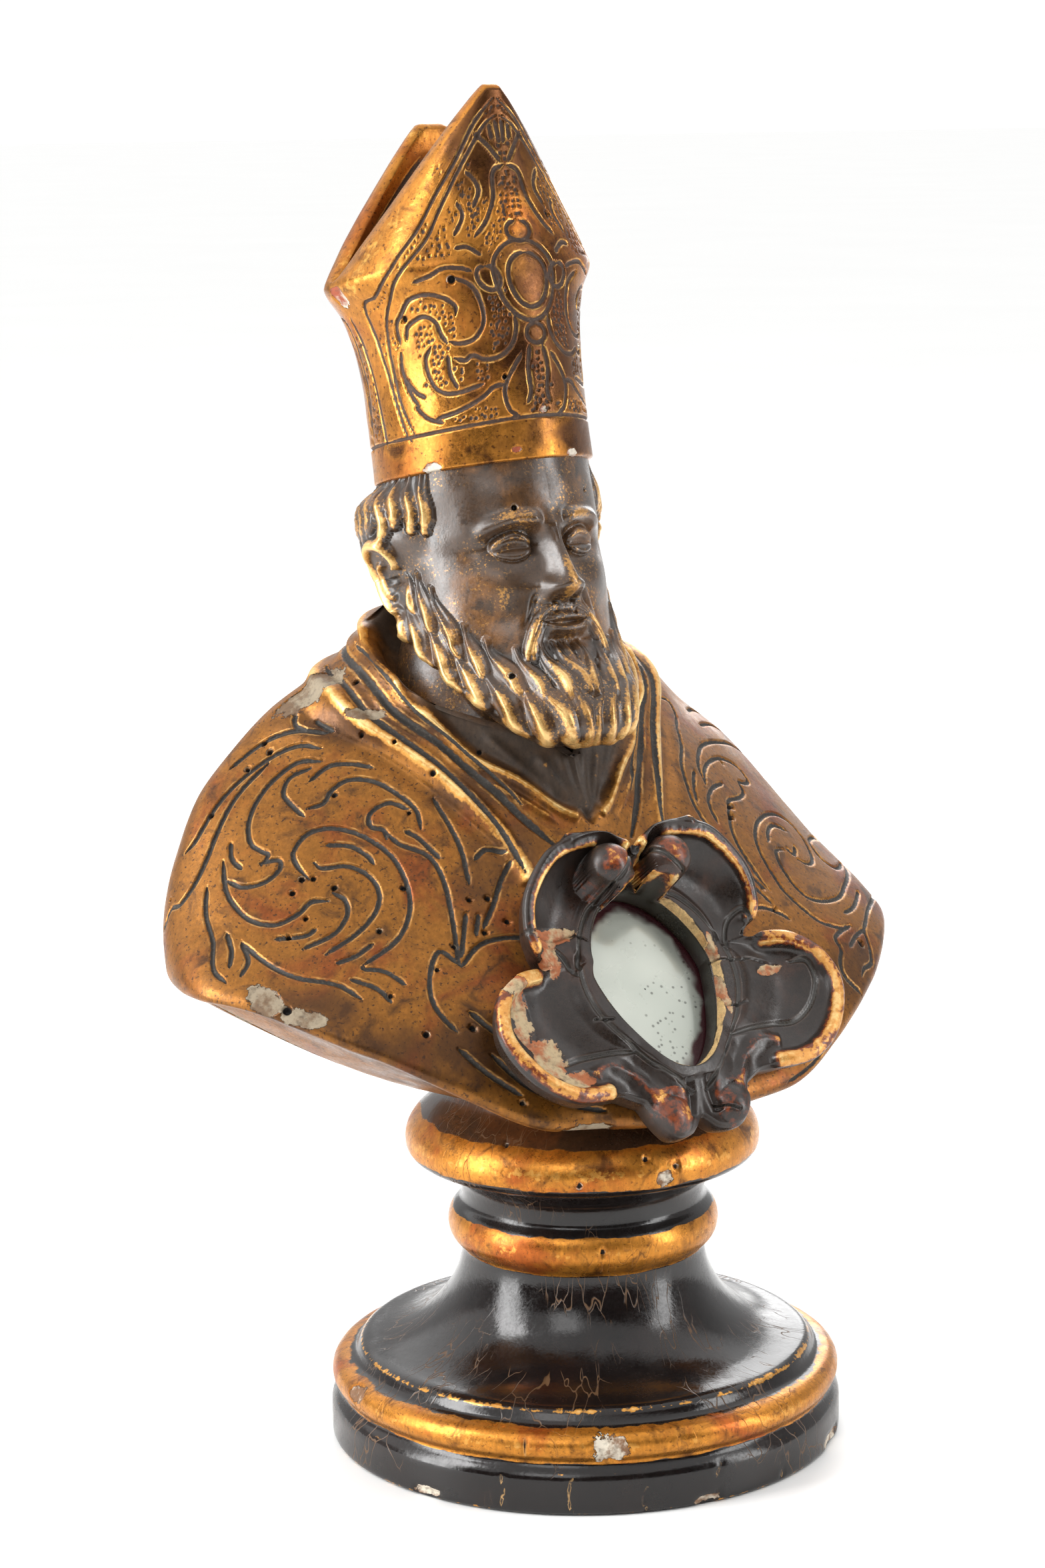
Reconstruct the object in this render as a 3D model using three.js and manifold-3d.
// Reliquary bust of a mitred, bearded bishop on a turned socle, in millimetres, +Z up.
// The bust is one carved block. A rococo cartouche is applied to its chest around a
// pane of silvered glass, and the whole stands on a separate turned foot.
// Origin: centre of the socle's underside. The figure looks along -Y.

import * as THREE from 'three';
import * as BufferGeometryUtils from 'three/addons/utils/BufferGeometryUtils.js';
import Module from 'manifold-3d';

const wasm = await Module();
wasm.setup();

// Fits
const fitGap = 0.3;

// Socle, one height for each member of the turned profile
const socleRadius = 70;
const plinthHeight = 11.5;
const grooveHeight = 2;
const grooveDepth = 1.8;
const baseTorusRadius = 4.2;
const baseTorusInset = 0.3;
const coveHeight = 3.7;
const arrisRadius = 62;
const trumpetHeight = 27.2;
const stemRadius = 33;
const knopReach = 37;
const knopHalfHeight = 6.4;
const upperNeckHeight = 14.8;
const upperFilletRadius = 48;
const crownHeight = 19.6;
const seatRadius = 36.5;
const seatMargin = 1.5;
const socleSegments = 36;

const torusLevel = plinthHeight + grooveHeight + baseTorusRadius;
const arrisLevel = torusLevel + baseTorusRadius + coveHeight;
const knopLevel = arrisLevel + trumpetHeight + knopHalfHeight;
const upperFilletLevel = knopLevel + knopHalfHeight + upperNeckHeight;
const socleHeight = upperFilletLevel + crownHeight;

// Bust height above the socle, and the carving unit that its proportions are given in
const bustHeight = 264;
const unit = bustHeight / 264;

// Torso, in carving units, levels from the socle's top
const bustColumns = 56;
const frontCrowding = 0.32;
const frontEdgeLevel = -4;
const rightSideEdgeLevel = 31;
const leftSideEdgeLevel = 26;
const backEdgeLevel = 8;
const shoulderHalfWidth = 110.5;
const chestFrontReach = 50;
const backReach = 77;
const chinLineLevel = 88;
const napeLineLevel = 128;
const neckRootLevel = 70.5;
const cordSlope = 0.62;
const cordHeight = 1.8;

// Head and mitre, in carving units, in a frame leaning back from the brim centre
const headLean = 12;
const brimCentreY = 45;
const brimLevel = 159;
const brimHalfWidth = 29.3;
const brimHalfDepth = 32.1;
const brimHeight = 11;
const brimStep = 1.3;
const faceThird = 20.5;
const browDrop = 16.5;
const beardDrop = 76;
const napeDrop = 22;
const beardReach = 41.5;
const hornHeight = 100.8;
const rearHornHeight = 96.6;
const hornTipReach = 30.1;
const rearTipReach = -7.1;
const saddleHeight = 54.2;
const saddleHalfWidth = 38;
const saddleSetback = -4.8;
const saddleHalfBreadth = 5;
const rimThickness = 5;
const rimBow = 1.12;
const hornTipHalfWidth = 2;
const rearTipHalfWidth = 4;
const valleyDepth = 2.8;

// Cartouche and glass, on a plane leaning back with the chest
const boardLean = 38.1;
const boardForward = 34.35 * unit;
const boardRise = 31.45 * unit;
const cartoucheHalfWidth = 54.5;
const windowHalfWidth = 18;
const windowHalfHeight = 26;
const windowPinch = 0.13;
const windowRise = 3;
const windowRimFront = 4.5;
const rebateWidth = 1.6;
const rebateLevel = -3.3;
const boardThickness = 7.5;
const cartoucheColumns = 64;
const glassThickness = 1.4;
const voluteSpread = 11;
const voluteRadius = 7;
const voluteFront = 20.5;
const footSpread = 9.5;
const footRadius = 6.5;
const footFront = 4.5;
const voluteRise = windowHalfHeight;
const footDrop = windowHalfHeight + 11;

const rad = Math.PI / 180;
const undersideRadius = (seatRadius + seatMargin) / unit;

// Smooth curve through a short list of [position, value] stations
function through(stations, t) {
  const last = stations.length - 1;
  if (t <= stations[0][0]) {
    return stations[0][1];
  }
  if (t >= stations[last][0]) {
    return stations[last][1];
  }
  let i = 0;
  while (t > stations[i + 1][0]) {
    i += 1;
  }
  const [x0, y0] = stations[i];
  const [x1, y1] = stations[i + 1];
  const slope = (k) => {
    if (k <= 0 || k >= last) {
      return 0;
    }
    const [xa, ya] = stations[k - 1];
    const [xb, yb] = stations[k];
    const [xc, yc] = stations[k + 1];
    const left = (yb - ya) / (xb - xa);
    const right = (yc - yb) / (xc - xb);
    return left * right <= 0 ? 0 : (2 * left * right) / (left + right);
  };
  const w = x1 - x0;
  const u = (t - x0) / w;
  const a = (1 + 2 * u) * (1 - u) * (1 - u);
  const b = u * (1 - u) * (1 - u);
  const c = u * u * (3 - 2 * u);
  const d = u * u * (u - 1);
  return a * y0 + b * w * slope(i) + c * y1 + d * w * slope(i + 1);
}

const bell = (t, width) => Math.exp(-(t * t) / (width * width));
const clamp = (t, low, high) => Math.min(high, Math.max(low, t));
const mix = (a, b, t) => a + (b - a) * t;
const smooth = (a, b, t) => {
  const u = clamp((t - a) / (b - a), 0, 1);
  return u * u * (3 - 2 * u);
};

// Torso: half width, front, back and widest line at each level
const halfWidthAt = (z) => shoulderHalfWidth * through([
  [-4, 0.985], [12, 0.995], [26, 1.0], [37, 0.978], [50, 0.923], [63, 0.857],
  [76, 0.778], [88, 0.658], [98, 0.556], [107, 0.431], [116, 0.35], [128, 0.311],
], z);
const frontAt = (z) => chestFrontReach * through([
  [-4, -1], [12, -0.87], [26, -0.71], [40, -0.53], [55, -0.33],
  [70.5, -0.14], [82, -0.03], [95, 0.03], [110, 0.06], [128, 0.08],
], z);
const backAt = (z) => backReach * through([
  [-4, 0.9], [10, 0.97], [26, 0.995], [45, 1.0], [70, 0.985], [95, 0.955], [128, 0.925],
], z);
const widestAt = (z) => through([
  [-4, 4], [30, 17], [50, 40], [70, 51], [90, 58], [110, 52], [128, 40.5],
], z);
const frontSquareness = (z) => through([[-4, 2.4], [50, 1.7], [90, 1.35], [114, 1.7], [128, 2.0]], z);
const backSquareness = (z) => through([[-4, 2.35], [50, 2.3], [90, 2.1], [128, 2.0]], z);
const onFigure = (x, y, z) => new THREE.Vector3(x * unit, y * unit, socleHeight + z * unit);

// Neck opening, raised cords along it and a soft hem at the lower edge
function chestRelief(x, z, facing) {
  if (facing <= 0) {
    return 0;
  }
  const fade = smooth(0, 0.3, facing);
  const opening = z - (neckRootLevel + 1.25 * Math.abs(x));
  const cord = z - (neckRootLevel - 3 + cordSlope * Math.abs(x));
  const hollow = -3 * smooth(-1, 3, opening);
  return fade * (hollow + cordHeight * bell(cord, 3.4) * smooth(75, 60, Math.abs(x)));
}

function torsoPoint(theta, z, grow = 0) {
  const s = Math.sin(theta);
  const c = Math.cos(theta);
  const power = 2 / (c > 0 ? frontSquareness(z) : backSquareness(z));
  const middle = widestAt(z);
  const depth = c > 0 ? middle - frontAt(z) : backAt(z) - middle;
  const x = halfWidthAt(z) * Math.sign(s) * Math.abs(s) ** power;
  const y = middle - depth * Math.sign(c) * Math.abs(c) ** power;
  const out = grow + chestRelief(x, z, c);
  const nx = s / halfWidthAt(z);
  const ny = -c / depth;
  const n = Math.hypot(nx, ny);
  return onFigure(x + (out * nx) / n, y + (out * ny) / n, z);
}

const lowerEdge = (theta) => {
  const centre = Math.cos(theta) > 0 ? frontEdgeLevel : backEdgeLevel;
  const climb = through([
    [0, 0], [0.16, 0.05], [0.28, 0.09], [0.49, 0.37], [0.57, 0.49], [0.71, 0.67], [1, 1],
  ], Math.abs(Math.sin(theta)));
  const side = Math.sin(theta) < 0 ? rightSideEdgeLevel : leftSideEdgeLevel;
  return centre + (side - centre) * climb;
};
const neckLine = (theta) =>
  chinLineLevel + (napeLineLevel - chinLineLevel) * Math.abs(Math.sin(theta / 2));

// Leaning frame of the head: right, forward, up along the head
const leanSin = Math.sin(headLean * rad);
const leanCos = Math.cos(headLean * rad);
const inHead = (x, f, h) => onFigure(
  x,
  brimCentreY - leanCos * f + leanSin * h,
  brimLevel + leanSin * f + leanCos * h,
);

// Head: plain shell first, then an ideal face set out in equal thirds
const noseBase = browDrop + faceThird;
const chinLevel = noseBase + faceThird;
const eyeLine = browDrop + 0.27 * faceThird;
const mouthLine = noseBase + 0.34 * faceThird;

const headHalfWidth = (h) => brimHalfWidth * through([
  [-beardDrop, 0.7], [-70, 0.82], [-62, 0.9], [-50, 0.94], [-40, 0.96], [-28, 0.985], [-14, 0.98], [0, 0.955],
], h);
const faceFront = (h) => through([
  [-beardDrop, beardReach - 3], [-72, beardReach], [-64, beardReach - 1], [-57, beardReach - 4.5],
  [-50, 33.5], [-44, 32.8], [-37, 31.8], [-30, 30.6], [-23, 29.8], [-17, 32.2], [-9, 31.6],
  [0, brimHalfDepth - brimStep],
], h);
const headBack = (h) => through([[-50, 29], [-24, 31], [-12, 31.4],
  [0, brimHalfDepth - brimStep]], h);

function faceRelief(x, h) {
  const a = Math.abs(x);
  const noseRun = smooth(-eyeLine - 1, -noseBase + 2.2, h);
  const noseEnd = smooth(-noseBase - 1.5, -noseBase + 1.5, h);
  const nose = 10.5 * noseRun ** 0.9 * noseEnd * bell(x, 3.1 + 1.3 * noseRun);
  const bridge = 2.6 * bell(h + eyeLine, 6) * bell(x, 3);
  const wings = 3.4 * bell(a - 5, 2.2) * bell(h + noseBase - 2, 2.8);
  const brow = 1.7 * bell(h + browDrop, 2.6) * bell(a - 11, 7.5);
  const socket = -4 * bell(h + eyeLine, 4.2) * bell(a - 10.5, 6);
  const eye = 3 * bell(h + eyeLine + 0.3, 2.9) * bell(a - 10.8, 4.2);
  const cheek = 1.6 * bell(h + noseBase - 5, 6.5) * bell(a - 15, 6);
  const moustache = 2.6 * bell(h + mouthLine - 3.4 + 0.12 * a, 2.2) * smooth(13, 8, a);
  const lips = 1.7 * bell(h + mouthLine + 2.4, 1.9) * smooth(6.5, 4, a);
  const parting = -1.4 * bell(h + mouthLine, 1.3) * smooth(9, 6, a);
  const chinDip = -1.8 * bell(h + mouthLine + 6, 2.6) * smooth(9, 5, a);
  return nose + bridge + wings + brow + socket + eye + cheek + moustache + lips + parting + chinDip;
}

// Locks of the short beard, as soft flutes that deepen to their tips
function beardRelief(theta, h) {
  const edge = beardEdge(theta);
  const along = smooth(edge + 24, edge + 4, h);
  const wave = Math.sin(theta * 13 + 0.12 * (h - edge)) * 0.5 + 0.5;
  return smooth(1.75, 1.2, Math.abs(theta)) * along * (1.9 * wave - 0.2);
}
const beardEdge = (theta) => -napeDrop - (beardDrop - napeDrop) * through([
  [0, 0.99], [18, 0.99], [32, 0.963], [45, 0.88], [58, 0.741], [70, 0.593], [82, 0.463], [95, 0.352],
  [110, 0.25], [180, 0],
], Math.abs(Math.atan2(Math.sin(theta), Math.cos(theta))) / rad);

// Ears and the hair above and behind them
function sideRelief(theta, h) {
  const side = Math.abs(theta) / rad;
  const rim = Math.hypot((side - 100) / 11, (h + noseBase - 11) / 10.5);
  const ear = 3.2 * bell(rim - 1, 0.42) * smooth(1.9, 1.2, rim);
  const hair = 5.6 * smooth(70, 100, side) * smooth(-26, -15, h) * smooth(0, -9, h);
  return ear + hair;
}

function headPoint(theta, h) {
  const s = Math.sin(theta);
  const c = Math.cos(theta);
  const half = headHalfWidth(h);
  const depth = c > 0 ? faceFront(h) : headBack(h);
  const out = beardRelief(theta, h) + sideRelief(theta, h);
  const x = (half + out) * s;
  const forward = smooth(0.1, 0.7, c) * faceRelief(half * s, h);
  return inHead(x, (depth + out) * c + forward, h);
}

// Mitre: below the saddle one closed wall, above it two pointed horns
const wallHalfWidth = (h) => (h >= saddleHeight ? saddleHalfWidth : through([
  [0, brimHalfWidth], [brimHeight, brimHalfWidth - 0.2], [25, 29.1], [36, 30.2], [46, 33.2], [saddleHeight, saddleHalfWidth],
], h));
const wallFront = (h) => through([
  [0, brimHalfDepth], [brimHeight, 32.9], [29, 35.1], [45, 34.9], [60, 33], [80, 30.7], [hornHeight, hornTipReach],
], h);
const wallBack = (h) => through([
  [0, -brimHalfDepth], [brimHeight, -31.2], [29, -28.5], [45, -25], [60, -20.5], [80, -13], [rearHornHeight, rearTipReach],
], h);
const rimHeight = (theta) => {
  const front = Math.cos(theta) > 0;
  const top = front ? hornHeight : rearHornHeight;
  const blunt = (front ? hornTipHalfWidth : rearTipHalfWidth) / saddleHalfWidth;
  const q = clamp((Math.abs(Math.sin(theta)) - blunt) / (1 - blunt), 0, 1);
  return saddleHeight + (top - saddleHeight) * (1 - q ** rimBow);
};

function mitrePoint(theta, h) {
  const s = Math.sin(theta);
  const c = Math.cos(theta);
  const front = c > 0;
  const top = front ? hornHeight : rearHornHeight;
  const rise = clamp((h - saddleHeight) / (top - saddleHeight), 0, 1);
  const tip = front ? hornTipReach : rearTipReach;
  const blunt = front ? hornTipHalfWidth : rearTipHalfWidth;
  const horn = blunt + (saddleHalfWidth - blunt) * (1 - rise) ** (1 / rimBow);
  const reach = h >= saddleHeight ? horn : wallHalfWidth(h);
  const centre = h >= saddleHeight
    ? mix(saddleSetback, tip, rise)
    : saddleSetback * smooth(0, saddleHeight, h);
  const breadth = saddleHalfBreadth * c * smooth(20, saddleHeight, h) * (1 - rise);
  const x = wallHalfWidth(h) * s;
  const share = reach > 1e-6 ? clamp(Math.abs(x) / reach, 0, 1) : 0;
  const face = front ? wallFront(h) : wallBack(h);
  const bow = Math.sqrt(Math.max(0, 1 - share * share));
  const f = centre + breadth + (face - centre - breadth) * bow;
  return { x, f, h };
}

const valleyPoint = (theta) => {
  const x = saddleHalfWidth * 0.955 * Math.sin(theta);
  const rise = (Math.abs(x) / saddleHalfWidth) ** 4;
  const f = saddleSetback - 1.2 + 1.1 * Math.cos(theta);
  return { x, f, h: saddleHeight - valleyDepth + valleyDepth * 0.6 * rise };
};

function rimInner(theta) {
  const p = mitrePoint(theta, rimHeight(theta));
  const inward = Math.cos(theta) > 0 ? -1 : 1;
  const share = Math.abs(Math.cos(theta)) ** 0.5;
  return {
    x: p.x * 0.965,
    f: p.f + inward * (rimThickness * share * 0.9 + 0.3),
    h: p.h - 0.8 - 0.6 * share,
  };
}

// Column angles, closer together across the face
const columnAngles = [];
for (let i = 0; i < bustColumns; i += 1) {
  const t = i / bustColumns;
  const angle = 2 * Math.PI * t - frontCrowding * Math.sin(2 * Math.PI * t);
  columnAngles.push(angle > Math.PI ? angle - 2 * Math.PI : angle);
}

// Closed solid from rings of points, fanned at the foot, zipped across a slot at the top
function ringSolid(rings, footCentre, frontCount) {
  const n = rings[0].length;
  const points = [footCentre];
  for (const ring of rings) {
    points.push(...ring);
  }
  const at = (r, i) => 1 + r * n + ((i + n) % n);
  const faces = [];
  for (let i = 0; i < n; i += 1) {
    faces.push(0, at(0, i + 1), at(0, i));
  }
  for (let r = 0; r + 1 < rings.length; r += 1) {
    for (let i = 0; i < n; i += 1) {
      faces.push(at(r, i), at(r, i + 1), at(r + 1, i + 1));
      faces.push(at(r, i), at(r + 1, i + 1), at(r + 1, i));
    }
  }
  const top = rings.length - 1;
  const front = [];
  const back = [];
  for (let i = -frontCount; i <= frontCount; i += 1) {
    front.push(at(top, i));
  }
  for (let i = n - frontCount - 1; i >= frontCount + 1; i -= 1) {
    back.push(at(top, i));
  }
  let a = 0;
  let b = 0;
  while (a < front.length - 1 || b < back.length - 1) {
    const nextFront = a < front.length - 1 ? points[front[a + 1]].x : Infinity;
    const nextBack = b < back.length - 1 ? points[back[b + 1]].x : Infinity;
    if (nextFront <= nextBack) {
      faces.push(front[a], front[a + 1], back[b]);
      a += 1;
    } else {
      faces.push(front[a], back[b + 1], back[b]);
      b += 1;
    }
  }
  return solidFrom(points, faces);
}

// Closed solid from loops of points joined round like a torus
function loopSolid(loops) {
  const n = loops[0].length;
  const points = loops.flat();
  const at = (r, i) => ((r + loops.length) % loops.length) * n + ((i + n) % n);
  const faces = [];
  for (let r = 0; r < loops.length; r += 1) {
    for (let i = 0; i < n; i += 1) {
      faces.push(at(r, i), at(r, i + 1), at(r + 1, i + 1));
      faces.push(at(r, i), at(r + 1, i + 1), at(r + 1, i));
    }
  }
  return solidFrom(points, faces);
}

// Upright plate between two loops of the same length
function plateSolid(low, high) {
  const n = low.length;
  const centre = (loop) => loop
    .reduce((sum, p) => sum.add(p), new THREE.Vector3())
    .divideScalar(n);
  const points = [...low, ...high, centre(low), centre(high)];
  const faces = [];
  for (let i = 0; i < n; i += 1) {
    const j = (i + 1) % n;
    faces.push(i, n + j, j);
    faces.push(i, n + i, n + j);
    faces.push(2 * n, i, j);
    faces.push(2 * n + 1, n + j, n + i);
  }
  return solidFrom(points, faces);
}

function solidFrom(points, faces) {
  const flat = new Float32Array(points.length * 3);
  points.forEach((p, i) => p.toArray(flat, 3 * i));
  return new wasm.Manifold(new wasm.Mesh({
    numProp: 3,
    vertProperties: flat,
    triVerts: new Uint32Array(faces),
  }));
}

function geometryFrom(solid) {
  const mesh = solid.getMesh();
  const geometry = new THREE.BufferGeometry();
  geometry.setAttribute('position', new THREE.BufferAttribute(new Float32Array(mesh.vertProperties), 3));
  geometry.setIndex(new THREE.BufferAttribute(new Uint32Array(mesh.triVerts), 1));
  return geometry;
}

// Rings of the bust from its underside to the cleft of the mitre
function bustRings(grow) {
  const rings = [];
  const ring = (make) => rings.push(columnAngles.map(make));
  const edge = (theta) => {
    const p = torsoPoint(theta, lowerEdge(theta) + 1, grow - 5);
    p.z = socleHeight + (lowerEdge(theta) - grow) * unit;
    return p;
  };
  const seat = fitGap / unit - grow;
  const disc = (theta) => onFigure(
    undersideRadius * Math.sin(theta),
    -undersideRadius * Math.cos(theta),
    seat,
  );
  ring(disc);
  for (const t of [0.3, 0.7]) {
    ring((theta) => {
      const p = disc(theta).lerp(edge(theta), t);
      p.z = mix(disc(theta).z, edge(theta).z, t ** 1.5);
      return p;
    });
  }
  ring(edge);
  for (const [lift, inset] of [[1.4, 1.6], [4.5, 0.2]]) {
    ring((theta) => torsoPoint(theta, lowerEdge(theta) + lift, grow - inset));
  }
  for (const t of [0.1, 0.2, 0.3, 0.4, 0.5, 0.6, 0.69, 0.77, 0.84, 0.9, 0.95, 1]) {
    ring((theta) => {
      const low = lowerEdge(theta) + 4;
      return torsoPoint(theta, mix(low, neckLine(theta), t), grow);
    });
  }
  ring((theta) => {
    const p = torsoPoint(theta, neckLine(theta), grow - 3.5);
    p.z -= 0.5 * unit;
    return p;
  });
  ring((theta) => {
    const h = beardEdge(theta);
    const p = headPoint(theta, h);
    const middle = inHead(0, 0, h + 2);
    return p.lerp(middle, 0.16);
  });
  const headSteps = 15;
  for (let k = 0; k <= headSteps; k += 1) {
    ring((theta) => {
      const low = beardEdge(theta);
      return headPoint(theta, mix(low, -0.8, k / headSteps));
    });
  }
  for (const t of [0, 0.055, 0.11, 0.21, 0.33, 0.45, 0.57, 0.69, 0.8, 0.89, 0.96, 1]) {
    ring((theta) => {
      const p = mitrePoint(theta, mix(0, rimHeight(theta), t));
      return inHead(p.x, p.f, p.h);
    });
  }
  for (const t of [0, 0.4, 0.75, 1]) {
    ring((theta) => {
      const a = rimInner(theta);
      const b = valleyPoint(theta);
      const sink = t ** 0.85;
      return inHead(mix(a.x, b.x, t), mix(a.f, b.f, t), mix(a.h, b.h, sink));
    });
  }
  return rings;
}

function bustSolid(grow) {
  const frontCount = columnAngles.filter((t) => t > 0 && Math.cos(t) > 0).length;
  const foot = onFigure(0, 0, fitGap / unit - grow);
  return ringSolid(bustRings(grow), foot, frontCount);
}

// Frame of the cartouche: across, up the chest, out of the chest
const boardUp = new THREE.Vector3(0, Math.sin(boardLean * rad), Math.cos(boardLean * rad));
const boardOut = new THREE.Vector3(0, -Math.cos(boardLean * rad), Math.sin(boardLean * rad));
const onBoard = (u, v, p) => new THREE.Vector3(u, -boardForward, socleHeight + boardRise)
  .addScaledVector(boardUp, v)
  .addScaledVector(boardOut, p);

// Window opening with softly pointed ends, phi from the top
function windowPoint(phi, grow) {
  const s = Math.sin(phi);
  const c = Math.cos(phi);
  const oval = 1 / Math.hypot(s / windowHalfWidth, c / windowHalfHeight);
  const r = oval * (1 - windowPinch * Math.abs(s * c)) + grow;
  return [r * s, r * c + windowRise * s * s];
}

// Outline and front level of the cartouche by angle from the top
const outline = (degrees) => cartoucheHalfWidth * through([
  [0, 0.587], [12, 0.697], [24, 0.752], [38, 0.798], [52, 0.789], [64, 0.743], [71, 0.679],
  [77, 0.578], [84, 0.789], [92, 0.936], [103, 1], [115, 0.972], [128, 0.881], [137, 0.752],
  [145, 0.67], [153, 0.664], [160, 0.743], [167, 0.807], [174, 0.78], [180, 0.706],
], degrees);
const edgeFront = (degrees) => through([
  [0, 17], [14, 19.5], [30, 18.5], [52, 13.5], [68, 9], [77, 5], [86, 6.5],
  [100, 7], [116, 6.5], [134, 4.5], [146, 1.5], [164, 1], [180, 0],
], degrees);

function boardFront(u, v, share, degrees) {
  const rim = edgeFront(degrees);
  const dish = mix(windowRimFront, rim, share ** 1.7) - 1.6 * Math.sin(Math.PI * share);
  const a = Math.abs(u);
  const volute = voluteRadius ** 2 - (a - voluteSpread) ** 2 - (v - voluteRise) ** 2;
  const foot = footRadius ** 2 - (a - footSpread) ** 2 - (v + footDrop) ** 2;
  let p = dish;
  if (volute > 0) {
    p = Math.max(p, voluteFront - voluteRadius + Math.sqrt(volute));
  }
  if (foot > 0) {
    p = Math.max(p, footFront - footRadius + Math.sqrt(foot));
  }
  return p;
}

function cartoucheSolid() {
  const angles = [];
  for (let i = 0; i < cartoucheColumns; i += 1) {
    angles.push((2 * Math.PI * i) / cartoucheColumns);
  }
  const deep = -13;
  const degreesOf = (phi) => {
    const d = phi / rad;
    return d > 180 ? 360 - d : d;
  };
  const atShare = (phi, share) => {
    const [wu, wv] = windowPoint(phi, 0);
    const r = outline(degreesOf(phi));
    return [mix(wu, r * Math.sin(phi), share), mix(wv, r * Math.cos(phi), share)];
  };
  const loops = [];
  const loop = (make) => loops.push(angles.map(make));
  const plain = (grow, p) => loop((phi) => onBoard(...windowPoint(phi, grow), p));
  plain(rebateWidth, deep);
  plain(rebateWidth, rebateLevel);
  plain(0, rebateLevel);
  plain(0, windowRimFront - 1.6);
  for (const share of [0.07, 0.22, 0.4, 0.58, 0.76, 0.91]) {
    loop((phi) => {
      const [u, v] = atShare(phi, share);
      return onBoard(u, v, boardFront(u, v, share, degreesOf(phi)));
    });
  }
  loop((phi) => {
    const [u, v] = atShare(phi, 1);
    return onBoard(u, v, edgeFront(degreesOf(phi)) - 1.8);
  });
  loop((phi) => {
    const [u, v] = atShare(phi, 0.97);
    return onBoard(u, v, edgeFront(degreesOf(phi)) - boardThickness);
  });
  loop((phi) => {
    const [u, v] = atShare(phi, 0.55);
    const side = Math.abs(Math.sin(phi));
    return onBoard(u, v, mix(deep, -1, side * 0.4));
  });
  return loopSolid(loops);
}

function glassOutline(grow, p) {
  const loop = [];
  const count = 40;
  for (let i = 0; i < count; i += 1) {
    loop.push(onBoard(...windowPoint((2 * Math.PI * i) / count, grow), p));
  }
  return loop;
}

const glassFront = rebateLevel - fitGap;
const glassBack = glassFront - glassThickness;
const glassSolid = plateSolid(
  glassOutline(rebateWidth - fitGap, glassBack),
  glassOutline(rebateWidth - fitGap, glassFront),
);
const seatCutter = plateSolid(
  glassOutline(rebateWidth, glassBack - fitGap),
  glassOutline(rebateWidth, 25),
);

const wholeBust = bustSolid(0);
const bust = wholeBust.subtract(seatCutter);
const cartouche = cartoucheSolid().subtract(bustSolid((fitGap + 0.05) / unit));

// Turned profile of the socle, from the axis round to the axis
function arc(cr, cz, rr, rz, from, to, steps) {
  const out = [];
  for (let i = 0; i <= steps; i += 1) {
    const t = mix(from, to, i / steps) * rad;
    out.push(new THREE.Vector2(cr + rr * Math.cos(t), cz + rz * Math.sin(t)));
  }
  return out;
}
const torusCentre = socleRadius - baseTorusInset - baseTorusRadius;
const trumpetTop = arrisLevel + trumpetHeight;
const neckBase = knopLevel + knopHalfHeight;
const point = (r, z) => new THREE.Vector2(r, z);
const inNeck = (across, up) => point(
  mix(stemRadius, upperFilletRadius, across),
  neckBase + upperNeckHeight * up,
);
const inCrown = (across, up) => point(
  mix(upperFilletRadius, seatRadius, across),
  upperFilletLevel + crownHeight * up,
);
const profile = [
  point(0, 0),
  point(socleRadius - 0.8, 0),
  point(socleRadius, 0.8),
  point(socleRadius, plinthHeight),
  point(socleRadius - grooveDepth, plinthHeight + 0.5),
  ...arc(torusCentre, torusLevel, baseTorusRadius, baseTorusRadius, -70, 95, 4),
  point(arrisRadius + 0.2, arrisLevel - 1.2),
  point(arrisRadius, arrisLevel),
  ...arc(arrisRadius - 1, trumpetTop + 1.2, arrisRadius - 1 - stemRadius, trumpetHeight + 0.4, 268, 184, 4),
  ...arc(knopReach - 5, knopLevel, 5, knopHalfHeight, -78, 78, 4),
  inNeck(0.03, 0.3),
  inNeck(0.2, 0.54),
  inNeck(0.53, 0.73),
  inNeck(0.87, 0.84),
  inCrown(0, 0),
  inCrown(-0.03, 0.16),
  inCrown(0.16, 0.42),
  inCrown(0.49, 0.6),
  inCrown(0.87, 0.745),
  inCrown(1, 0.9),
  inCrown(1, 1),
  point(0, socleHeight),
];

function turned(points, segments) {
  const geometry = new THREE.LatheGeometry(points, segments);
  geometry.deleteAttribute('normal');
  geometry.deleteAttribute('uv');
  const merged = BufferGeometryUtils.mergeVertices(geometry, 1e-3);
  merged.rotateX(Math.PI / 2);
  return merged;
}

function material(colour, roughness, metalness) {
  return new THREE.MeshStandardMaterial({ color: colour, roughness, metalness });
}

function named(name, geometry, look) {
  const mesh = new THREE.Mesh(geometry, look);
  mesh.name = name;
  return mesh;
}

const reliquary = new THREE.Group();
reliquary.name = 'reliquary_bust';
reliquary.add(
  named('socle', turned(profile, socleSegments), material(0x241a14, 0.35, 0.1)),
  named('bust', geometryFrom(bust), material(0xa06a22, 0.42, 0.55)),
  named('cartouche', geometryFrom(cartouche), material(0x2b1f1b, 0.4, 0.05)),
  named('glass', geometryFrom(glassSolid), material(0xb9bfba, 0.12, 0.8)),
);

export default reliquary;
